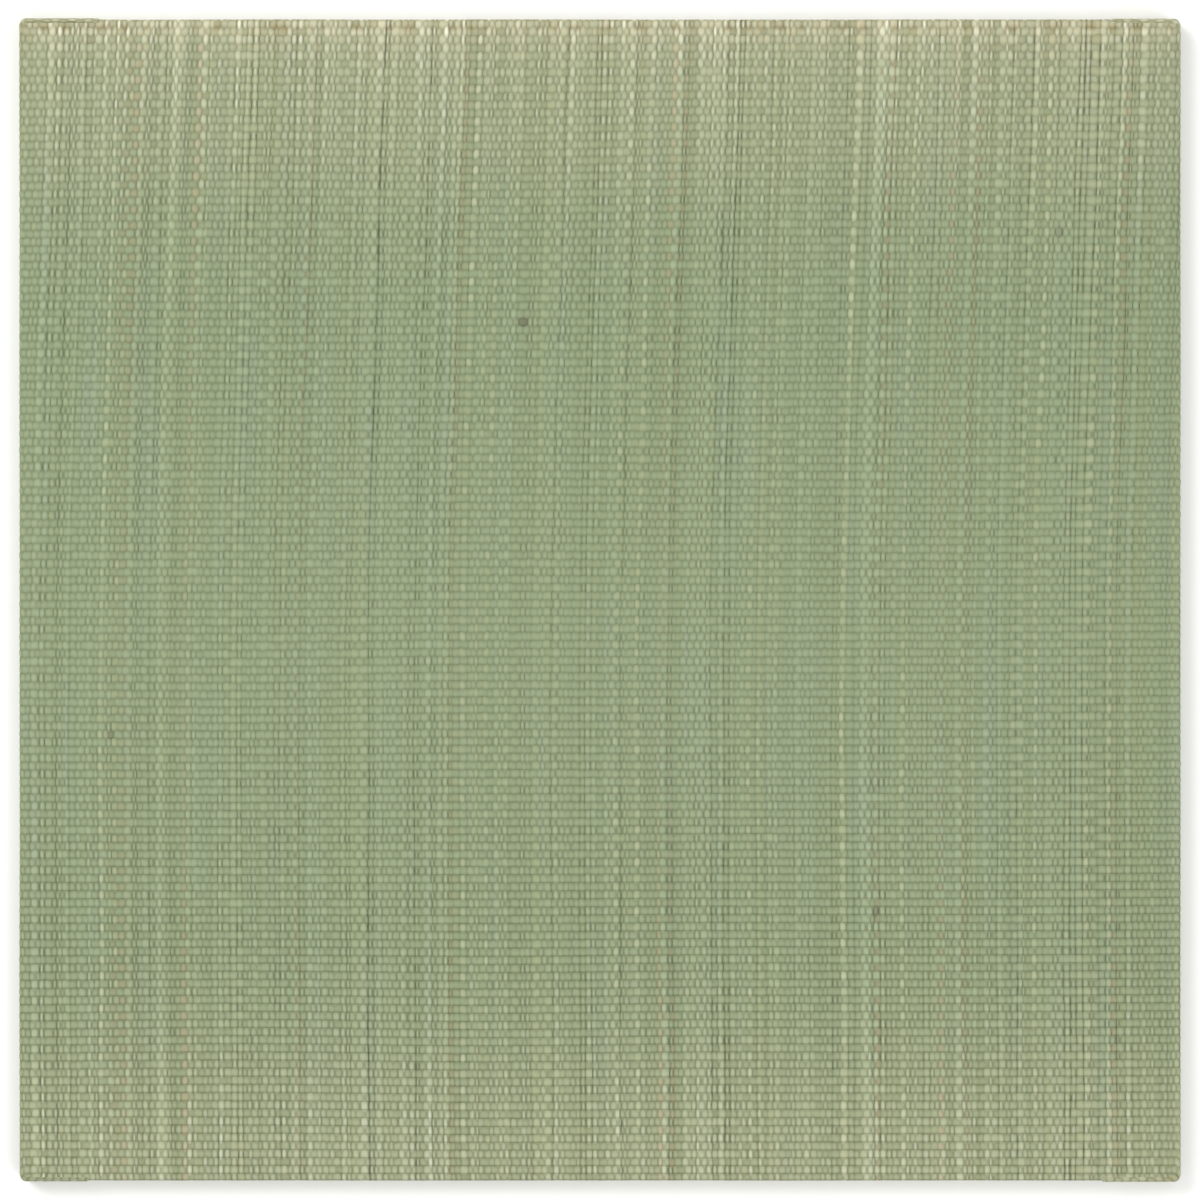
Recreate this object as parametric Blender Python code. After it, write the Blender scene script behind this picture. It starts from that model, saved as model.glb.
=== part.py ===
"""A borderless woven-rush floor mat: one thin, firm, square slab wrapped in rush matting.

The mat lies flat, with the centre of its underside at the origin. Lengths are in metres
and +Z is up. The rushes of the facing run along Y. They turn over the front and back
edges (-Y and +Y) and lie along the left and right ones (-X and +X). At each corner the
facing of the left or right side is carried round onto the front or back side as a short
flap, which stands a little proud there.
"""

import math

import bpy
import numpy as np

# Overall size
SIDE = 0.820
THICKNESS = 0.017

# Rounded corners of the outline, and rounded top and bottom edges
CORNER_RADIUS = 0.0045
CORNER_RADIUS_GAIN = 0.3  # growth of the outline's corner radius for each metre of inset
TOP_EDGE_RADIUS = 0.004
BOTTOM_EDGE_RADIUS = 0.002

# The top sinks a little towards its edges, where the facing is pulled tight
SHOULDER_DROP = 0.0008
SHOULDER_WIDTH = 0.014

# Corner flaps on the front and back sides: how far each runs from its corner, and how
# far it stands proud. The flap fades into the side over FLAP_STEP.
FLAP_STEP = 0.004
FLAPS = {
    # corner (x, y): (reach, proud)
    (-1, 1): (0.056, 0.0009),
    (1, 1): (0.049, 0.0006),
    (-1, -1): (0.048, 0.0006),
    (1, -1): (0.055, 0.0009),
}

# Facets
CORNER_STEPS = 6
TOP_EDGE_STEPS = 6
BOTTOM_EDGE_STEPS = 3
SIDE_STEPS = 2
SHOULDER_STEPS = 5

# Places along half a side, as distances from the outer corner. Those nearer than
# HELD_FROM slide along with the corner's arc; the others stay where they are.
NEAR_CORNER = (0.012, 0.020, 0.030)
HELD_FROM = 0.040
FAR_FROM_CORNER = (0.080, 0.160, 0.280, SIDE / 2)

RUSH_GREEN = (0.310, 0.361, 0.212, 1.0)
RUSH_ROUGHNESS = 0.62


def edge_profile():
    """Inset from the side's plane and height of each ring, from the underside to the flat top."""
    bottom = np.linspace(0, math.pi / 2, BOTTOM_EDGE_STEPS + 1)
    insets = [BOTTOM_EDGE_RADIUS * (1 - np.sin(bottom))]
    heights = [BOTTOM_EDGE_RADIUS * (1 - np.cos(bottom))]

    # The top edge's arc ends at the slope with which the shoulder begins.
    slope = math.atan(2 * SHOULDER_DROP / SHOULDER_WIDTH)
    top = np.linspace(0, math.pi / 2 - slope, TOP_EDGE_STEPS + 1)
    arc_centre = THICKNESS - SHOULDER_DROP - TOP_EDGE_RADIUS * math.sin(top[-1])

    band = np.linspace(BOTTOM_EDGE_RADIUS, arc_centre, SIDE_STEPS + 1)[1:-1]
    insets.append(np.zeros(len(band)))
    heights.append(band)

    insets.append(TOP_EDGE_RADIUS * (1 - np.cos(top)))
    heights.append(arc_centre + TOP_EDGE_RADIUS * np.sin(top))

    # The shoulder rises as a parabola that is level where it meets the flat top.
    t = np.linspace(0, 1, SHOULDER_STEPS + 1)[1:]
    insets.append(insets[-1][-1] + SHOULDER_WIDTH * t)
    heights.append(THICKNESS - SHOULDER_DROP * (1 - t) ** 2)
    return np.concatenate(insets), np.concatenate(heights)


def smooth_step(t):
    """0 below 0, 1 above 1, and a smooth rise between them."""
    t = np.clip(t, 0, 1)
    return t * t * (3 - 2 * t)


def quarter_outline(inset, reach, proud):
    """The outline's quarter from the middle of the +X side round to the middle of the +Y
    side, at one inset, with the corner's flap standing proud on the +Y side."""
    half = SIDE / 2
    radius = CORNER_RADIUS + CORNER_RADIUS_GAIN * inset
    arc_end = inset + radius

    # Places along half a side, from its middle to where the corner's arc begins.
    squeeze = (HELD_FROM - arc_end) / (HELD_FROM - CORNER_RADIUS)
    near = HELD_FROM + (np.array(NEAR_CORNER) - HELD_FROM) * squeeze
    at_flap = (reach - FLAP_STEP, reach - FLAP_STEP / 2, reach)
    places = half - np.sort(np.concatenate([near, at_flap, FAR_FROM_CORNER]))[::-1]

    angle = np.linspace(0, math.pi / 2, CORNER_STEPS + 1)
    centre = half - arc_end
    outer = np.full(len(places), half - inset)
    x = np.concatenate([outer, centre + radius * np.cos(angle), places[::-1]])
    y = np.concatenate([places, centre + radius * np.sin(angle), outer])

    # The flap pushes out along Y: fully on the +Y side, not at all on the +X side, and
    # less and less where the top turns inwards.
    facing_y = np.concatenate([np.zeros(len(places)), np.sin(angle), np.ones(len(places))])
    along = smooth_step((reach - (half - x)) / FLAP_STEP)
    across = 1 - smooth_step((inset - TOP_EDGE_RADIUS) / SHOULDER_WIDTH)
    y = y + proud * along * across * facing_y**2
    return np.stack([x, y], axis=1)


def outline(inset):
    """The whole outline at one inset, counter-clockwise seen from above."""
    quarters = []
    for sign in ((1, 1), (-1, 1), (-1, -1), (1, -1)):
        quarter = quarter_outline(inset, *FLAPS[sign]) * sign
        if sign[0] != sign[1]:
            quarter = quarter[::-1]
        quarters.append(quarter[:-1])
    return np.concatenate(quarters)


def mat_mesh():
    """Rings of the outline, stacked from the underside to the top, with flat caps."""
    insets, heights = edge_profile()
    rings = [outline(inset) for inset in insets]
    count = len(rings[0])
    points = [(x, y, z) for ring, z in zip(rings, heights) for x, y in ring]

    faces = [tuple(range(count))[::-1]]
    for k in range(len(rings) - 1):
        low, high = k * count, (k + 1) * count
        for j in range(count):
            after = (j + 1) % count
            faces.append((low + j, low + after, high + after, high + j))
    last = (len(rings) - 1) * count
    faces.append(tuple(range(last, last + count)))

    mesh = bpy.data.meshes.new("rush_mat")
    mesh.from_pydata(points, [], faces)
    mesh.shade_smooth()
    mesh.set_sharp_from_angle(angle=math.radians(30))
    return mesh


def rush_material():
    """Dried rush: sage green and barely glossy."""
    material = bpy.data.materials.new("woven_rush")
    material.use_nodes = True
    shader = material.node_tree.nodes["Principled BSDF"]
    shader.inputs["Base Color"].default_value = RUSH_GREEN
    shader.inputs["Roughness"].default_value = RUSH_ROUGHNESS
    shader.inputs["Metallic"].default_value = 0.0
    return material


for old in list(bpy.data.objects):
    bpy.data.objects.remove(old)

mat = bpy.data.objects.new("rush_mat", mat_mesh())
mat.data.materials.append(rush_material())
bpy.context.scene.collection.objects.link(mat)
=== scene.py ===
"""A borderless tatami half mat: a thin board wrapped in plain-woven rush, seen from above.

Lengths are in metres. The rushes run along Y and the binding threads along X.
"""

import math

import bpy
import numpy as np
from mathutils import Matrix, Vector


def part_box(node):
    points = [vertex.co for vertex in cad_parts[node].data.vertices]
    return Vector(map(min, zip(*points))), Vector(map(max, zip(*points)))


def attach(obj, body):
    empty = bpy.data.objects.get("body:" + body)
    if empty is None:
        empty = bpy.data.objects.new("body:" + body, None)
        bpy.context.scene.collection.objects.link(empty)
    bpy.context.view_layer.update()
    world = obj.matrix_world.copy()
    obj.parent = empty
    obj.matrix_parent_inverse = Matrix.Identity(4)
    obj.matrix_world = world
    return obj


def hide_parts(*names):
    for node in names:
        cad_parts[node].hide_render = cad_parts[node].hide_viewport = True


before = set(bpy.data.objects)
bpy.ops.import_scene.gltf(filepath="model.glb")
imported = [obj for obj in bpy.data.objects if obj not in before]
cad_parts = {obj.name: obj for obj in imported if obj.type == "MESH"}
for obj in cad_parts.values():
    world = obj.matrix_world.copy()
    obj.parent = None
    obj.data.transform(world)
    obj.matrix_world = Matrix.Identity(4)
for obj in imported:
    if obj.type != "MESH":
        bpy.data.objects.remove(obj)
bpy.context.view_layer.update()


# The facing's shape
# Woven rush, about 1.5 mm thick, is pulled over a square board and glued under it. The
# top is flat, sinks a little towards its edges and turns down round them. At each corner
# the facing of the left or right side is carried round onto the front or back as a flap.

low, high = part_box("rush_mat")
HALF = high.x
THICKNESS = high.z

CORNER_RADIUS = 0.0045
CORNER_RADIUS_GAIN = 0.3  # growth of the outline's corner radius for each metre of inset
TOP_EDGE_RADIUS = 0.004
BOTTOM_EDGE_RADIUS = 0.002
SHOULDER_DROP = 0.0008
SHOULDER_WIDTH = 0.014
RIM = 0.022  # how far the facing shows under the mat, from the outer edge

FLAPS = {
    # corner (x, y): (reach, proud)
    (-1, 1): (0.056, 0.0009),
    (1, 1): (0.049, 0.0006),
    (-1, -1): (0.048, 0.0006),
    (1, -1): (0.055, 0.0009),
}
FLAP_EDGE = 0.0012  # width over which a flap's cut edge falls to the side under it
FLAP_TOP = 0.0009  # path from the edge of the flat top down to a flap's upper edge
FLAP_TOP_EDGE = 0.0006

WARP_SPACES = 144  # counted in the photo
WARP = 2 * HALF / WARP_SPACES
RIDGE = 0.00030  # height of the ridge that the rushes make between two binding threads
LUMP = 0.00012  # uneven lift of neighbouring rushes
LUMP_CELLS = (0.045, 0.008)
SWELL = 0.00015  # unevenness of the whole top
SWELL_CELLS = (0.110, 0.090)
WAVER = 0.0012  # how far the binding threads waver to either side
WAVER_CELLS = (0.170, 0.120)
LATTICE = 512  # points to a side of the lattice behind these three
LATTICE_START = 200.5  # the lattice's place that lies at the mat's centre

LINES_PER_WARP = 4
LINE_SPACING_X = 0.0080
CORNER_SPACING = 0.0011  # of the lines that round the front and back corners
SHARP_ANGLE = math.radians(28)  # faces that meet at more than this are shaded apart

# The top edge's arc ends at the slope with which the shoulder begins.
TURN = math.pi / 2 - math.atan(2 * SHOULDER_DROP / SHOULDER_WIDTH)
ARC_CENTRE = THICKNESS - SHOULDER_DROP - TOP_EDGE_RADIUS * math.sin(TURN)
FLAT = HALF - TOP_EDGE_RADIUS * (1 - math.cos(TURN))
ARC_PATH = TOP_EDGE_RADIUS * TURN
SIDE_PATH = ARC_CENTRE - BOTTOM_EDGE_RADIUS
ROUND_PATH = ARC_PATH + SIDE_PATH + BOTTOM_EDGE_RADIUS * math.pi / 2
RIM_PATH = ROUND_PATH + RIM - BOTTOM_EDGE_RADIUS
CORNER_HOLD = 0.030  # from this far along a side, grid lines run straight over the edge


def edge_section(path):
    """The edge's section, by the path from the flat top's edge: an arc down, a straight side,
    a small arc under, then level. Gives the inset, the height and the outward and upward
    parts of the normal."""
    upper = np.clip(TURN - path / TOP_EDGE_RADIUS, 0, TURN)
    fallen = np.clip(path - ARC_PATH, 0, SIDE_PATH)
    lower = np.clip((path - ARC_PATH - SIDE_PATH) / BOTTOM_EDGE_RADIUS, 0, math.pi / 2)
    inset = (
        TOP_EDGE_RADIUS * (1 - np.cos(upper))
        + BOTTOM_EDGE_RADIUS * (1 - np.cos(lower))
        + np.maximum(path - ROUND_PATH, 0)
    )
    height = (
        ARC_CENTRE
        + TOP_EDGE_RADIUS * np.sin(upper)
        - fallen
        - BOTTOM_EDGE_RADIUS * np.sin(lower)
    )
    return inset, height, np.cos(upper + lower), np.sin(upper) - np.sin(lower)


def round_the_corner(along, line_half, ring_half, radius):
    """Carries a place on a square's side to the side of a rounded square. From CORNER_HOLD
    inwards it stays; nearer the corner it is spread evenly over the rest of the straight
    side and half of the corner's arc. Gives the distances along and out, and the outward
    direction's part in each."""
    radius = np.maximum(radius, 1e-6)
    centre = ring_half - radius
    half_arc = radius * math.pi / 4
    room = half_arc + centre - (line_half - CORNER_HOLD)
    path = (line_half - np.abs(along)) / CORNER_HOLD * room
    angle = math.pi / 4 - np.clip(path / radius, 0, math.pi / 4)
    bent = centre + radius * np.sin(angle) - np.maximum(path - half_arc, 0)
    near = np.abs(along) > line_half - CORNER_HOLD
    moved = np.where(near, np.sign(along) * bent, along)
    out = np.where(near, centre + radius * np.cos(angle), ring_half)
    along_part = np.where(near, np.sign(along) * np.sin(angle), 0.0)
    out_part = np.where(near, np.cos(angle), 1.0)
    return moved, out, along_part, out_part


def smooth_noise(x, y, cell_x, cell_y, seed):
    """Values from -1 to 1 on a lattice of cells, blended between its points by smooth steps."""
    lattice = np.random.default_rng(seed).uniform(-1, 1, (LATTICE, LATTICE))
    column = x / cell_x + LATTICE_START
    row = y / cell_y + LATTICE_START
    i, j = np.floor(column).astype(int), np.floor(row).astype(int)
    u, v = column - i, row - j
    u, v = u * u * (3 - 2 * u), v * v * (3 - 2 * v)
    low_row = lattice[i, j] * (1 - u) + lattice[i + 1, j] * u
    high_row = lattice[i, j + 1] * (1 - u) + lattice[i + 1, j + 1] * u
    return low_row * (1 - v) + high_row * v


def relief(s, t):
    """Height of the weave's broad forms over the flat facing, at s along the rushes and t
    across them: a rounded ridge between each two grooves, which lie WARP apart, with the
    even and the odd rushes lifted unevenly, and a faint swell."""
    wave = np.sin(math.pi * s / WARP)
    ridge = RIDGE * (np.abs(wave) - 2 / math.pi)
    lump = LUMP * wave * smooth_noise(s, t, *LUMP_CELLS, 1)
    return ridge + lump + SWELL * smooth_noise(s, t, *SWELL_CELLS, 2)


def grid_lines():
    """Lines of the flat top: across X at an even spacing, with a pair of lines at each flap's
    cut edge and a few that round the corners, and across Y at LINES_PER_WARP to each binding
    thread, with the threads' crests and grooves among them."""
    placed = []
    for (side, _), (reach, _) in FLAPS.items():
        placed += [side * (HALF - reach + step * FLAP_EDGE / 2) for step in (-1, 1)]
    for side in (-1, 1):
        placed += [side * (FLAT - number * CORNER_SPACING) for number in (0, 1, 2, 3, 4)]
    placed = np.array(placed)
    even = np.linspace(-FLAT, FLAT, round(2 * FLAT / LINE_SPACING_X) + 1)
    clear = np.abs(even[:, None] - placed).min(1) > LINE_SPACING_X / 4
    xs = np.sort(np.concatenate([even[clear], placed]))
    step = WARP / LINES_PER_WARP
    last = math.floor(FLAT / step - 0.5)
    ys = np.concatenate([[-FLAT], np.arange(-last, last + 1) * step, [FLAT]])
    return xs, ys


def facing_mesh():
    """A grid for the top, with rings of the same lines carried round the edge and under, and
    one flat face for what the rim leaves open. Two UV maps go with it: cloth, the place in
    the woven cloth in metres (X along the rushes, Y across them), and a net of the facing
    laid flat, for baking."""
    xs, ys = grid_lines()
    count_x, count_y = len(xs), len(ys)
    line_x, cloth_y = (a.ravel() for a in np.meshgrid(xs, ys, indexing="ij"))
    held = np.clip((FLAT - np.abs(cloth_y)) / CORNER_HOLD, 0, 1)
    line_y = cloth_y + WAVER * held * smooth_noise(line_x, cloth_y, *WAVER_CELLS, 3)

    # The flat top: each point lies on a rounded square, whose corners grow sharp inwards.
    from_x, from_y = FLAT - np.abs(line_x), FLAT - np.abs(line_y)
    inner = np.minimum(from_x, from_y)
    on_x = from_x <= from_y
    flat_radius = CORNER_RADIUS + CORNER_RADIUS_GAIN * (HALF - FLAT)
    radius = flat_radius * np.maximum(0, 1 - inner / CORNER_HOLD)
    moved, out, _, _ = round_the_corner(
        np.where(on_x, line_y, line_x), FLAT - inner, FLAT - inner, radius
    )
    top_x = np.where(on_x, np.sign(line_x) * out, moved)
    top_y = np.where(on_x, moved, np.sign(line_y) * out)
    sunk = SHOULDER_DROP * (1 - np.clip(inner / SHOULDER_WIDTH, 0, 1)) ** 2
    cloth_s, cloth_t = cloth_y + top_y - line_y, top_x
    top_z = THICKNESS - sunk + relief(cloth_s, cloth_t)
    top = np.stack([top_x, top_y, top_z], axis=1)

    # The loop round the top, counter-clockwise. The corners belong to the left and right.
    i, j = np.arange(count_x), np.arange(count_y)
    right = (count_x - 1) * count_y + j
    left = j[::-1]
    back = i[-2:0:-1] * count_y + count_y - 1
    front = i[1:-1] * count_y
    loop = np.concatenate([right, back, left, front])
    sides = (right, back, left, front)
    on_x = np.concatenate([np.full(len(a), a is right or a is left) for a in sides])
    loop_x, loop_y = line_x[loop], line_y[loop]
    loop_s, loop_t = cloth_s[loop], cloth_t[loop]
    sign_x, sign_y = np.sign(loop_x), np.sign(loop_y)

    # The flaps: how far each point of the loop is covered by one, and how proud it is.
    reach = np.zeros(len(loop))
    proud = np.zeros(len(loop))
    for (side_x, side_y), (long, high_by) in FLAPS.items():
        at = (sign_x == side_x) & (sign_y == side_y)
        reach[at], proud[at] = long, high_by
    covered = np.abs(loop_x) >= HALF - reach + FLAP_EDGE / 2 - 1e-6
    covered_edge = np.abs(loop_x) >= HALF - reach - FLAP_EDGE / 2 - 1e-6

    # Rings at a flap's upper edge, then with the ridges down to the underside and the rim.
    step = WARP / LINES_PER_WARP
    first = math.ceil(FLAT / step + 0.5) * step - FLAT
    down = np.arange(first, ROUND_PATH - step / 2, step)
    flap_paths = [FLAP_TOP - FLAP_TOP_EDGE / 2, FLAP_TOP + FLAP_TOP_EDGE / 2]
    paths = np.concatenate([flap_paths, down, [ROUND_PATH, RIM_PATH]])
    flap_ring = 1
    rings = []
    ridge_share = [np.ones(len(top))]
    crease = [np.zeros(len(top))]
    for number, path in enumerate(paths):
        inset, height, outward, upward = edge_section(path)
        moved, out, along_part, out_part = round_the_corner(
            np.where(on_x, loop_y, loop_x),
            FLAT,
            HALF - inset,
            CORNER_RADIUS + CORNER_RADIUS_GAIN * inset,
        )
        x = np.where(on_x, sign_x * out, moved)
        y = np.where(on_x, moved, sign_y * out)
        facing_x = np.where(on_x, sign_x * out_part, along_part)
        facing_y = np.where(on_x, along_part, sign_y * out_part)
        under_flap = covered & ~on_x & (number >= flap_ring)
        s = np.where(on_x, loop_s, loop_s + sign_y * path)
        s = np.where(under_flap, sign_y * (2 * FLAT - np.abs(loop_x)), s)
        t = np.where(on_x, loop_t + sign_x * path, loop_t)
        t = np.where(under_flap, sign_x * (FLAT + path), t)
        fade = np.clip((ROUND_PATH - path) / (BOTTOM_EDGE_RADIUS * math.pi / 2), 0, 1)
        share = np.where(under_flap, 0, fade)
        ridge_share.append(share)
        upper_edge = covered_edge & (facing_y**2 > 0.3) & (number <= flap_ring + 2)
        cut_end = covered_edge & ~covered & (number > flap_ring)
        crease.append((upper_edge | cut_end).astype(float))
        raised = relief(s, t) * share
        if flap_ring <= number < len(paths) - 1:
            raised = raised + covered * proud * facing_y**2
        x = x + raised * outward * facing_x
        y = y + raised * outward * facing_y
        rings.append(np.stack([x, y, height + raised * np.maximum(upward, 0)], axis=1))

    points = np.concatenate([top, *rings])

    # Faces, with each corner's place in the cloth and in the net.
    a = (i[:-1, None] * count_y + j[:-1]).ravel()
    top_faces = np.stack([a, a + count_y, a + count_y + 1, a + 1], axis=1)
    top_cloth = np.stack([cloth_s, cloth_t], axis=1)[top_faces]
    top_net = np.stack([line_x, line_y], axis=1)[top_faces]

    n = np.arange(len(loop))
    after = np.roll(n, -1)
    side_run = on_x & on_x[after] & (sign_x == sign_x[after])
    flap_run = ~side_run & covered_edge & covered_edge[after]
    levels = [loop] + [len(top) + k * len(loop) + n for k in range(len(paths))]
    level_paths = np.concatenate([[0], paths])
    ring_faces, ring_cloth, ring_net = [], [], []
    for k in range(len(paths)):
        upper, lower = levels[k], levels[k + 1]
        ring_faces.append(np.stack([lower, lower[after], upper[after], upper], axis=1))
        corner = np.stack([n, after, after, n], axis=1)
        path = level_paths[[k + 1, k + 1, k, k]]
        x, y = loop_x[corner], loop_y[corner]
        # A corner point takes its signs from the middle of the face's upper edge.
        away_x = np.sign(loop_x + loop_x[after])[:, None]
        away_y = np.sign(loop_y + loop_y[after])[:, None]
        on_side = side_run[:, None]
        on_flap = (flap_run & (k >= flap_ring))[:, None]
        s = np.where(on_side, loop_s[corner], loop_s[corner] + away_y * path)
        s = np.where(on_flap, away_y * (2 * FLAT - np.abs(x)), s)
        t = np.where(on_side, loop_t[corner] + away_x * path, loop_t[corner])
        t = np.where(on_flap, away_x * (FLAT + path), t)
        ring_cloth.append(np.stack([s, t], axis=2))
        net_x = np.where(on_side, away_x * (FLAT + path), x)
        net_y = np.where(on_side, y, away_y * (FLAT + path))
        ring_net.append(np.stack([net_x, net_y], axis=2))

    quads = np.concatenate([top_faces, *ring_faces])
    cap = levels[-1][::-1]
    cap_xy = points[cap][:, :2]

    # The net fills the bake's square but for a strip, which takes the plain underside.
    margin, strip = 0.004, 0.066
    reach_out = FLAT + RIM_PATH
    net = np.concatenate([top_net, *ring_net]).reshape(-1, 2)
    net = margin + (net / reach_out + 1) / 2 * (1 - strip - 2 * margin)
    cap_net = cap_xy / (2 * HALF) + 0.5
    cap_net = cap_net * (strip - 2 * margin, 1 - 2 * margin) + (1 - strip + margin, margin)
    cloth = np.concatenate([top_cloth, *ring_cloth]).reshape(-1, 2)

    mesh = bpy.data.meshes.new("rush_facing")
    mesh.from_pydata(points.tolist(), [], quads.tolist() + [cap.tolist()])
    for name, quad_uv, cap_uv in (
        ("cloth", cloth, cap_xy[:, ::-1]),
        ("OFBake", net, cap_net),
    ):
        layer = mesh.uv_layers.new(name=name)
        layer.uv.foreach_set("vector", np.concatenate([quad_uv, cap_uv]).ravel())
    for name, values in (("ridge_share", ridge_share), ("crease", crease)):
        attribute = mesh.attributes.new(name, "FLOAT", "POINT")
        attribute.data.foreach_set("value", np.concatenate(values).astype(np.float32))
    material_of_face = np.zeros(len(quads) + 1, np.int32)
    material_of_face[-1] = 1
    mesh.polygons.foreach_set("material_index", material_of_face)
    mesh.shade_smooth()
    mesh.set_sharp_from_angle(angle=SHARP_ANGLE)
    mesh.validate()
    return mesh


facing = bpy.data.objects.new("rush_facing", facing_mesh())
bpy.context.scene.collection.objects.link(facing)
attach(facing, "root")
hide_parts("rush_mat")


# The facing's finish
# Igusa rush, dried with its mud coat and plain woven over cotton threads: sage green,
# each stem its own shade, with a faint waxy gloss on the crests. Towards the stems' ends
# the green goes over into straw, and here and there a stem is brown or pale.

# Single stems are too fine to show, so a row stands for two or three that lie together.
ROW = 0.0044  # from one row to the next of the same set
ROW_SPREAD = 0.85  # how uneven the rows' widths are, from 0 to 1
LIFT = 0.00036  # rise and fall of a row over and under the threads
ROUND = 0.00046  # height of a row's crown over its edges
THICKER = 0.00038  # how much higher the thickest rows lie than the thinnest
UNEVEN = 0.00024  # uneven lift along the rows
LEAN = 0.0146  # the whole set of rows leans sideways by this share of its length
BOW = 0.0208  # and bends, by as much more at one end and less at the other
BEND = 0.1025  # half the length over which it bends
STRAY = 0.0034  # how far single rows stray from that
JITTER = 0.0013  # how far a row's crossings stray from the grooves
DRAWN_OUT = 16  # patterns are this much longer along the rushes than across them
OTHER_ROWS = 2000.5  # where the odd set's rows are taken from, so that they differ
SHADES_APART = 700  # the same for the rows' shades

# A row's tone, from 0, dark, to 1: its least, and what its shade, each grain and its
# stoutness add at most. What stoutness adds is a painted highlight: stout rows stand higher.
# Where the rows hardly differ, the tone nears the mean.
LEAST_TONE = 0.256
STREAK_TONE = 0.28
GRAIN_TONE = 0.06
STOUT_HIGHLIGHT = 0.08
MEAN_TONE = 0.45

# Sizes of the patterns, across the rushes but for the shade's, which is along them.
STRAY_CELL = 0.012
JITTER_CELL = 0.0031
UNEVEN_CELL = 0.0043
PATCH_CELL = 0.014
STAIN_CELL = 0.009
# size of the patches in the grooves' painted shade
GROOVE_SHADE_CELL = 0.008
SHADE_LENGTH = 0.150


def linear(colour):
    """sRGB hex to linear: a straight toe below 0.04045, a power of 2.4 above it."""
    values = [int(colour[k : k + 2], 16) / 255 for k in (1, 3, 5)]
    bent = [v / 12.92 if v <= 0.04045 else ((v + 0.055) / 1.055) ** 2.4 for v in values]
    return (*bent, 1.0)


def add(tree, kind, inputs=(), stops=(), **settings):
    """Adds a node with its settings and gives its outputs. Its inputs, in order or by name,
    take values or links. Stops are a ramp's places, with a grey or a colour at each."""
    node = tree.nodes.new("ShaderNode" + kind)
    for name, value in settings.items():
        setattr(node, name, value)
    for place, value in inputs.items() if isinstance(inputs, dict) else enumerate(inputs):
        if isinstance(value, bpy.types.NodeSocket):
            tree.links.new(value, node.inputs[place])
        else:
            node.inputs[place].default_value = value
    for k, (place, value) in enumerate(stops):
        ramp = node.color_ramp.elements
        stop = ramp[k] if k < len(ramp) else ramp.new(place)
        stop.position = place
        stop.color = linear(value) if isinstance(value, str) else (value, value, value, 1)
    return node.outputs


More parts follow.
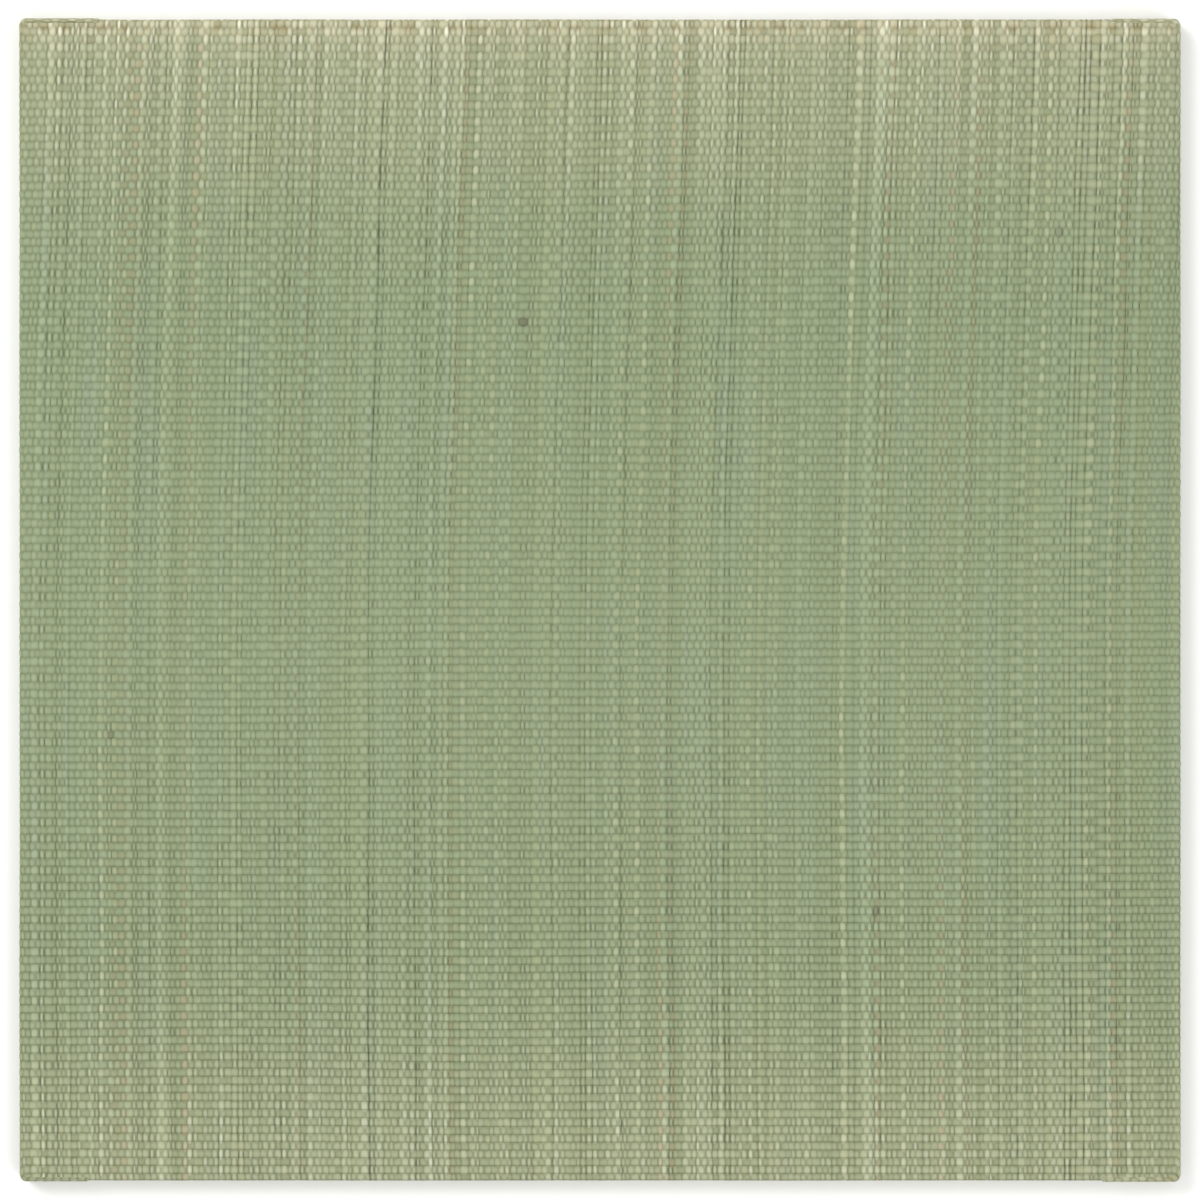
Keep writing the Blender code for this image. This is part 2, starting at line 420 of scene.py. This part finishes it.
def rush_finish():
    """Two sets of rows, even and odd, of uneven widths, rise and fall in opposite phase. The
    higher set shows at each place, which gives the staggered grains."""
    material = bpy.data.materials.new("plain_woven_rush")
    material.use_nodes = True
    tree = material.node_tree
    shader = tree.nodes["Principled BSDF"]

    # The rows lean and bend together, stray along their length and lie unevenly close.
    cloth = add(tree, "UVMap", uv_map="cloth")[0]
    s, t, _ = add(tree, "SeparateXYZ", [cloth])
    bend = add(tree, "Math", (s, s, BEND**2), operation="MULTIPLY_ADD")[0]
    bend = add(tree, "Math", [bend], operation="SQRT")[0]
    t = add(tree, "Math", (bend, -BOW, t), operation="MULTIPLY_ADD")[0]
    t = add(tree, "Math", (s, -LEAN, t), operation="MULTIPLY_ADD")[0]
    short = add(tree, "Math", (s, 1 / DRAWN_OUT), operation="MULTIPLY")[0]
    drawn = add(tree, "CombineXYZ", (short, t, 0))[0]
    noise = {"Vector": drawn, "Scale": 1 / STRAY_CELL, "Detail": 1}
    stray = add(tree, "TexNoise", noise, noise_dimensions="2D")[0]
    t = add(tree, "Math", (stray, STRAY, t), operation="MULTIPLY_ADD")[0]

    # Rise and fall over the threads, with crossings that stray and rows that lie unevenly.
    noise = {"Vector": drawn, "Scale": 1 / JITTER_CELL, "Detail": 0}
    uneven = add(tree, "TexNoise", noise, noise_dimensions="2D")[0]
    moved = add(tree, "Math", (uneven, JITTER, s), operation="MULTIPLY_ADD")[0]
    turn = add(tree, "Math", (moved, math.pi / WARP), operation="MULTIPLY")[0]
    wave = add(tree, "Math", [turn], operation="SINE")[0]
    noise = {"Vector": drawn, "Scale": 1 / UNEVEN_CELL, "Detail": 0}
    uneven = add(tree, "TexNoise", noise, noise_dimensions="2D")[0]
    uneven = add(tree, "Math", (uneven, UNEVEN, -UNEVEN / 2), operation="MULTIPLY_ADD")[0]
    lift = add(tree, "Math", (wave, LIFT, uneven), operation="MULTIPLY_ADD")[0]

    # Stems are stoutest in the middle, where they close up. Towards both ends they lie
    # looser, and the rows stand out more.
    where = add(tree, "MapRange", (s, -HALF, HALF, 0, 1))[0]
    stops = [(0.04, 1.0), (0.21, 0.78), (0.46, 0.50), (0.71, 0.69), (0.96, 1.0)]
    marked = add(tree, "ValToRGB", [where], stops)[0]

    heights, chances, grains = [], [], []
    for odd, sign in ((0, "ADD"), (1, "SUBTRACT")):
        row = add(tree, "Math", (t, 1 / ROW, OTHER_ROWS * odd), operation="MULTIPLY_ADD")[0]
        inputs = {"W": row, "Scale": 1, "Randomness": ROW_SPREAD}
        rows = add(tree, "TexVoronoi", inputs, voronoi_dimensions="1D")
        edges = add(tree, "TexVoronoi", inputs, voronoi_dimensions="1D", feature="DISTANCE_TO_EDGE")
        outwards = add(tree, "MapRange", (edges[0], 0, 0.5, 1, 0))[0]
        fallen = add(tree, "Math", (outwards, outwards), operation="MULTIPLY")[0]
        slim, thick, _ = add(tree, "SeparateColor", [rows["Color"]])
        bold = add(tree, "Math", (thick, thick), operation="MULTIPLY")[0]
        steep = add(tree, "Math", (slim, 6), operation="POWER")[0]
        steep = add(tree, "MapRange", (steep, 0, 1, -0.7 * ROUND, -3.2 * ROUND))[0]
        steep = add(tree, "Math", (bold, -1.2 * ROUND, steep), operation="MULTIPLY_ADD")[0]

        # Each grain has a chance of its own, from its row and its crest's number. It says
        # how deep the gap beside the grain is and, further on, the grain's shade.
        first = -0.25 - 0.5 * odd
        crest = add(tree, "Math", (s, 0.5 / WARP, first), operation="MULTIPLY_ADD")[0]
        crest = add(tree, "Math", [crest], operation="ROUND")[0]
        at = add(tree, "CombineXYZ", (slim, crest, thick))[0]
        grain = add(tree, "TexWhiteNoise", {"Vector": at}, noise_dimensions="3D")[0]
        gap = add(tree, "Math", (grain, 1.3, 0.35), operation="MULTIPLY_ADD")[0]
        steep = add(tree, "Math", (steep, gap), operation="MULTIPLY")[0]
        crown = add(tree, "Math", (bold, THICKER), operation="MULTIPLY")[0]
        crown = add(tree, "Math", (fallen, steep, crown), operation="MULTIPLY_ADD")[0]
        crown = add(tree, "Math", (crown, marked), operation="MULTIPLY")[0]
        heights.append(add(tree, "Math", (crown, lift), operation=sign)[0])
        chances.append(rows["Color"])
        grains.append(grain)
    height = add(tree, "Math", heights, operation="MAXIMUM")[0]
    odd = add(tree, "Math", heights[::-1], operation="GREATER_THAN")[0]
    chance = add(tree, "Mix", {0: odd, 6: chances[0], 7: chances[1]}, data_type="RGBA")[2]
    own, reach, hue = add(tree, "SeparateColor", [chance])

    # Each row's own shade, how it changes along the row, and each grain's shade.
    number = add(tree, "Math", (own, SHADES_APART), operation="MULTIPLY")[0]
    along = add(tree, "Math", (s, 1 / SHADE_LENGTH), operation="MULTIPLY")[0]
    at = add(tree, "CombineXYZ", (number, along, 0))[0]
    noise = {"Vector": at, "Scale": 1, "Detail": 3, "Roughness": 0.65}
    streak = add(tree, "TexNoise", noise, noise_dimensions="2D")[0]
    grain = add(tree, "Mix", {0: odd, 2: grains[0], 3: grains[1]})[0]

    tone = add(tree, "Math", (streak, STREAK_TONE, LEAST_TONE), operation="MULTIPLY_ADD")[0]
    tone = add(tree, "Math", (grain, GRAIN_TONE, tone), operation="MULTIPLY_ADD")[0]
    # Stout rows, which stand higher, are painted lighter: a painted highlight.
    bold = add(tree, "Math", (reach, reach), operation="MULTIPLY")[0]
    tone = add(tree, "Math", (bold, STOUT_HIGHLIGHT, tone), operation="MULTIPLY_ADD")[0]
    tone = add(tree, "Mix", {0: marked, 2: MEAN_TONE, 3: tone})[0]
    stops = [(0.0, "#727e5a"), (0.33, "#899773"), (0.66, "#a0ae8a"), (1.0, "#c2d0ad")]
    green = add(tree, "ValToRGB", [tone], stops)[0]

    # Bluish and yellowish patches, a few rows wide.
    noise = {"Vector": drawn, "Scale": 1 / PATCH_CELL, "Detail": 2}
    patch = add(tree, "TexNoise", noise, noise_dimensions="2D")[0]
    blue = add(tree, "MapRange", (patch, 0.45, 0.75, 0, 0.25))[0]
    green = add(tree, "Mix", {0: blue, 6: green, 7: linear("#8fa28f")}, data_type="RGBA")[2]
    yellow = add(tree, "MapRange", (hue, 0.6, 1.0, 0, 0.2))[0]
    green = add(tree, "Mix", {0: yellow, 6: green, 7: linear("#a1a371")}, data_type="RGBA")[2]

    # Rare rows: dull brown ones, mostly towards the ends, and pale ones with bright crests.
    brown = add(tree, "MapRange", (hue, 0.035, 0.025, 0, 0.6))[0]
    at_ends = add(tree, "Math", (marked, marked), operation="MULTIPLY")[0]
    brown = add(tree, "Math", (brown, at_ends), operation="MULTIPLY")[0]
    green = add(tree, "Mix", {0: brown, 6: green, 7: linear("#937f5a")}, data_type="RGBA")[2]
    pale = add(tree, "MapRange", (hue, 0.965, 0.970, 0, 1))[0]
    crests = add(tree, "MapRange", (grain, 0.2, 1, 0.04, 0.30))[0]
    crests = add(tree, "Math", (crests, marked), operation="MULTIPLY")[0]
    pale = add(tree, "Math", (pale, crests), operation="MULTIPLY")[0]
    green = add(tree, "Mix", {0: pale, 6: green, 7: linear("#d8dcb8")}, data_type="RGBA")[2]
    fleck = add(tree, "MapRange", (grain, 0.9999, 0.99995, 0, 0.55))[0]
    green = add(tree, "Mix", {0: fleck, 6: green, 7: linear("#4a4330")}, data_type="RGBA")[2]

    # Straw towards the ends, more at the back, and more in one row than in the next.
    stops = [
        (0.0, 0.46), (0.008, 0.40), (0.04, 0.36), (0.08, 0.26), (0.12, 0.16), (0.2, 0.06),
        (0.75, 0.02), (0.83, 0.09), (0.90, 0.28), (0.96, 0.42), (0.98, 0.56), (0.99, 0.86),
    ]
    ends = add(tree, "ValToRGB", [where], stops)[0]
    share = add(tree, "Math", (reach, 0.4, 0.8), operation="MULTIPLY_ADD")[0]
    straw = add(tree, "Math", (ends, share), operation="MULTIPLY", use_clamp=True)[0]
    shade = add(tree, "Math", (own, 1.8, grain), operation="MULTIPLY_ADD")[0]
    stops = [(0.0, "#a59d7a"), (0.3, "#bbb694"), (0.65, "#d2cfb1"), (1.0, "#eeebd4")]
    shade = add(tree, "Math", (shade, 2.8), operation="DIVIDE")[0]
    warm = add(tree, "ValToRGB", [shade], stops)[0]
    colour = add(tree, "Mix", {0: straw, 6: green, 7: warm}, data_type="RGBA")[2]

    # Brown, in some stems, where the facing is creased: along the back edge and round flaps.
    crease = add(tree, "Attribute", attribute_name="crease")["Fac"]
    stops = [(0.9885, 0), (0.9915, 1), (0.9945, 1), (0.9970, 0)]
    fold = add(tree, "ValToRGB", [where], stops)[0]
    crease = add(tree, "Math", (crease, 0.5, fold), operation="MULTIPLY_ADD")[0]
    noise = {"Vector": drawn, "Scale": 1 / STAIN_CELL, "Detail": 2}
    stain = add(tree, "TexNoise", noise, noise_dimensions="2D")[0]
    stain = add(tree, "MapRange", (stain, 0.48, 0.62, 0.02, 0.60))[0]
    crease = add(tree, "Math", (crease, stain), operation="MULTIPLY", use_clamp=True)[0]
    colour = add(tree, "Mix", {0: crease, 6: colour, 7: linear("#978459")}, data_type="RGBA")[2]

    # Painted shade between the rows, darker where a row lies lower, and along the grooves, where
    # the threads pull them down. The grooves' painted shade is strongest at the front, fades
    # towards the back and varies in patches.
    painted_shade = add(tree, "MapRange", (height, -0.0006, 0.00072, 0.30, 1))[0]
    turn = add(tree, "Math", (s, math.pi / WARP), operation="MULTIPLY")[0]
    ridge = add(tree, "Math", [turn], operation="SINE")[0]
    ridge = add(tree, "Math", [ridge], operation="ABSOLUTE")[0]
    noise = {"Vector": cloth, "Scale": 1 / GROOVE_SHADE_CELL, "Detail": 1}
    groove_shade_ease = add(tree, "TexNoise", noise, noise_dimensions="2D")[0]
    stops = [(0.0, 0.0), (0.2, 0.08), (0.45, 0.55), (0.55, 0.60), (0.94, 0.65), (0.98, 1.0)]
    groove_shade_ramp = add(tree, "ValToRGB", [where], stops)[0]
    groove_shade_ease = add(tree, "Math", (groove_shade_ease, 0.6, groove_shade_ramp), operation="MULTIPLY_ADD")[0]
    groove_shade = add(tree, "MapRange", (groove_shade_ease, 0.2, 1.1, 0.64, 1.0))[0]
    groove_shade = add(tree, "MapRange", (ridge, 0, 0.45, groove_shade, 1))[0]
    painted_shade = add(tree, "Math", (painted_shade, groove_shade), operation="MULTIPLY")[0]
    # The painted shade turns a dull grey-green as it darkens.
    stops = [(0.15, "#6a6d5c"), (0.4, "#acaf9f"), (1.0, "#ffffff")]
    painted_shade = add(tree, "ValToRGB", [painted_shade], stops)[0]
    # The colour is multiplied by the painted shade.
    inputs = {0: 1, 6: colour, 7: painted_shade}
    colour = add(tree, "Mix", inputs, data_type="RGBA", blend_type="MULTIPLY")[2]
    tree.links.new(colour, shader.inputs["Base Color"])

    gloss = add(tree, "MapRange", (height, 0.0, 0.0005, 0.75, 0.5))[0]
    tree.links.new(gloss, shader.inputs["Roughness"])
    shader.inputs["IOR"].default_value = 1.45

    # The mesh already has the ridges, so the bump leaves them out, but for the flaps.
    made = add(tree, "Attribute", attribute_name="ridge_share")["Fac"]
    ridge = add(tree, "Math", (ridge, made), operation="MULTIPLY")[0]
    fine = add(tree, "Math", (ridge, -RIDGE, height), operation="MULTIPLY_ADD")[0]
    inputs = {"Strength": 1, "Distance": 1, "Height": fine}
    tree.links.new(add(tree, "Bump", inputs)[0], shader.inputs["Normal"])
    return material


facing.data.materials.append(rush_finish())


# The underside
# The facing's raw edge is covered by a plain, matt backing felt, the pale grey of undyed
# fibre, glued flush with the turned-under rush.


def backing_finish():
    """Pressed felt: pale grey with a soft mottle."""
    material = bpy.data.materials.new("pressed_felt")
    material.use_nodes = True
    tree = material.node_tree
    shader = tree.nodes["Principled BSDF"]
    place = add(tree, "TexCoord")["Object"]
    mottle = add(tree, "TexNoise", {"Vector": place, "Scale": 160, "Detail": 3})[0]
    colour = add(tree, "ValToRGB", [mottle], [(0.3, "#b3ada0"), (0.7, "#cbc6b9")])[0]
    tree.links.new(colour, shader.inputs["Base Color"])
    shader.inputs["Roughness"].default_value = 0.95
    return material


facing.data.materials.append(backing_finish())


# Floor, light and camera
# A plain white ground, a wide soft light from the upper left and even light all round.

GROUND = 60.0
GROUND_GAP = 0.0003
MAT_SHARE = 0.969  # how much of the frame's width the mat fills
CAMERA_HEIGHT = 3.0
SENSOR = 0.036

ground_mesh = bpy.data.meshes.new("ground")
g = GROUND / 2
ground_mesh.from_pydata(
    [(-g, -g, -GROUND_GAP), (g, -g, -GROUND_GAP), (g, g, -GROUND_GAP), (-g, g, -GROUND_GAP)],
    [],
    [(0, 1, 2, 3)],
)
ground = bpy.data.objects.new("ground", ground_mesh)
bpy.context.scene.collection.objects.link(ground)
paper = bpy.data.materials.new("white_ground")
paper.use_nodes = True
paper.node_tree.nodes["Principled BSDF"].inputs["Base Color"].default_value = linear("#f4f4f2")
paper.node_tree.nodes["Principled BSDF"].inputs["Roughness"].default_value = 0.9
ground.data.materials.append(paper)

world = bpy.data.worlds.new("studio")
world.use_nodes = True
world.node_tree.nodes["Background"].inputs["Color"].default_value = (1, 1, 1, 1)
world.node_tree.nodes["Background"].inputs["Strength"].default_value = 0.75
bpy.context.scene.world = world

for name, place, size, power in (
    ("key_light", (-3.8, 3.0, 4.0), 3.2, 230.0),
    ("fill_light", (4.4, -3.2, 4.8), 4.4, 190.0),
):
    light = bpy.data.lights.new(name, "AREA")
    light.size = size
    light.energy = power
    lamp = bpy.data.objects.new(name, light)
    bpy.context.scene.collection.objects.link(lamp)
    lamp.location = place
    aim = np.array(place) / np.linalg.norm(place)
    lamp.rotation_euler = (math.acos(aim[2]), 0, math.atan2(aim[0], -aim[1]))

camera_data = bpy.data.cameras.new("camera")
camera_data.sensor_width = SENSOR * 1000
camera_data.lens = SENSOR * 1000 * (CAMERA_HEIGHT - THICKNESS) * MAT_SHARE / (2 * HALF)
camera = bpy.data.objects.new("camera", camera_data)
camera.location = (0, 0, CAMERA_HEIGHT)
bpy.context.scene.collection.objects.link(camera)
bpy.context.scene.camera = camera
bpy.context.scene.view_settings.view_transform = "Standard"
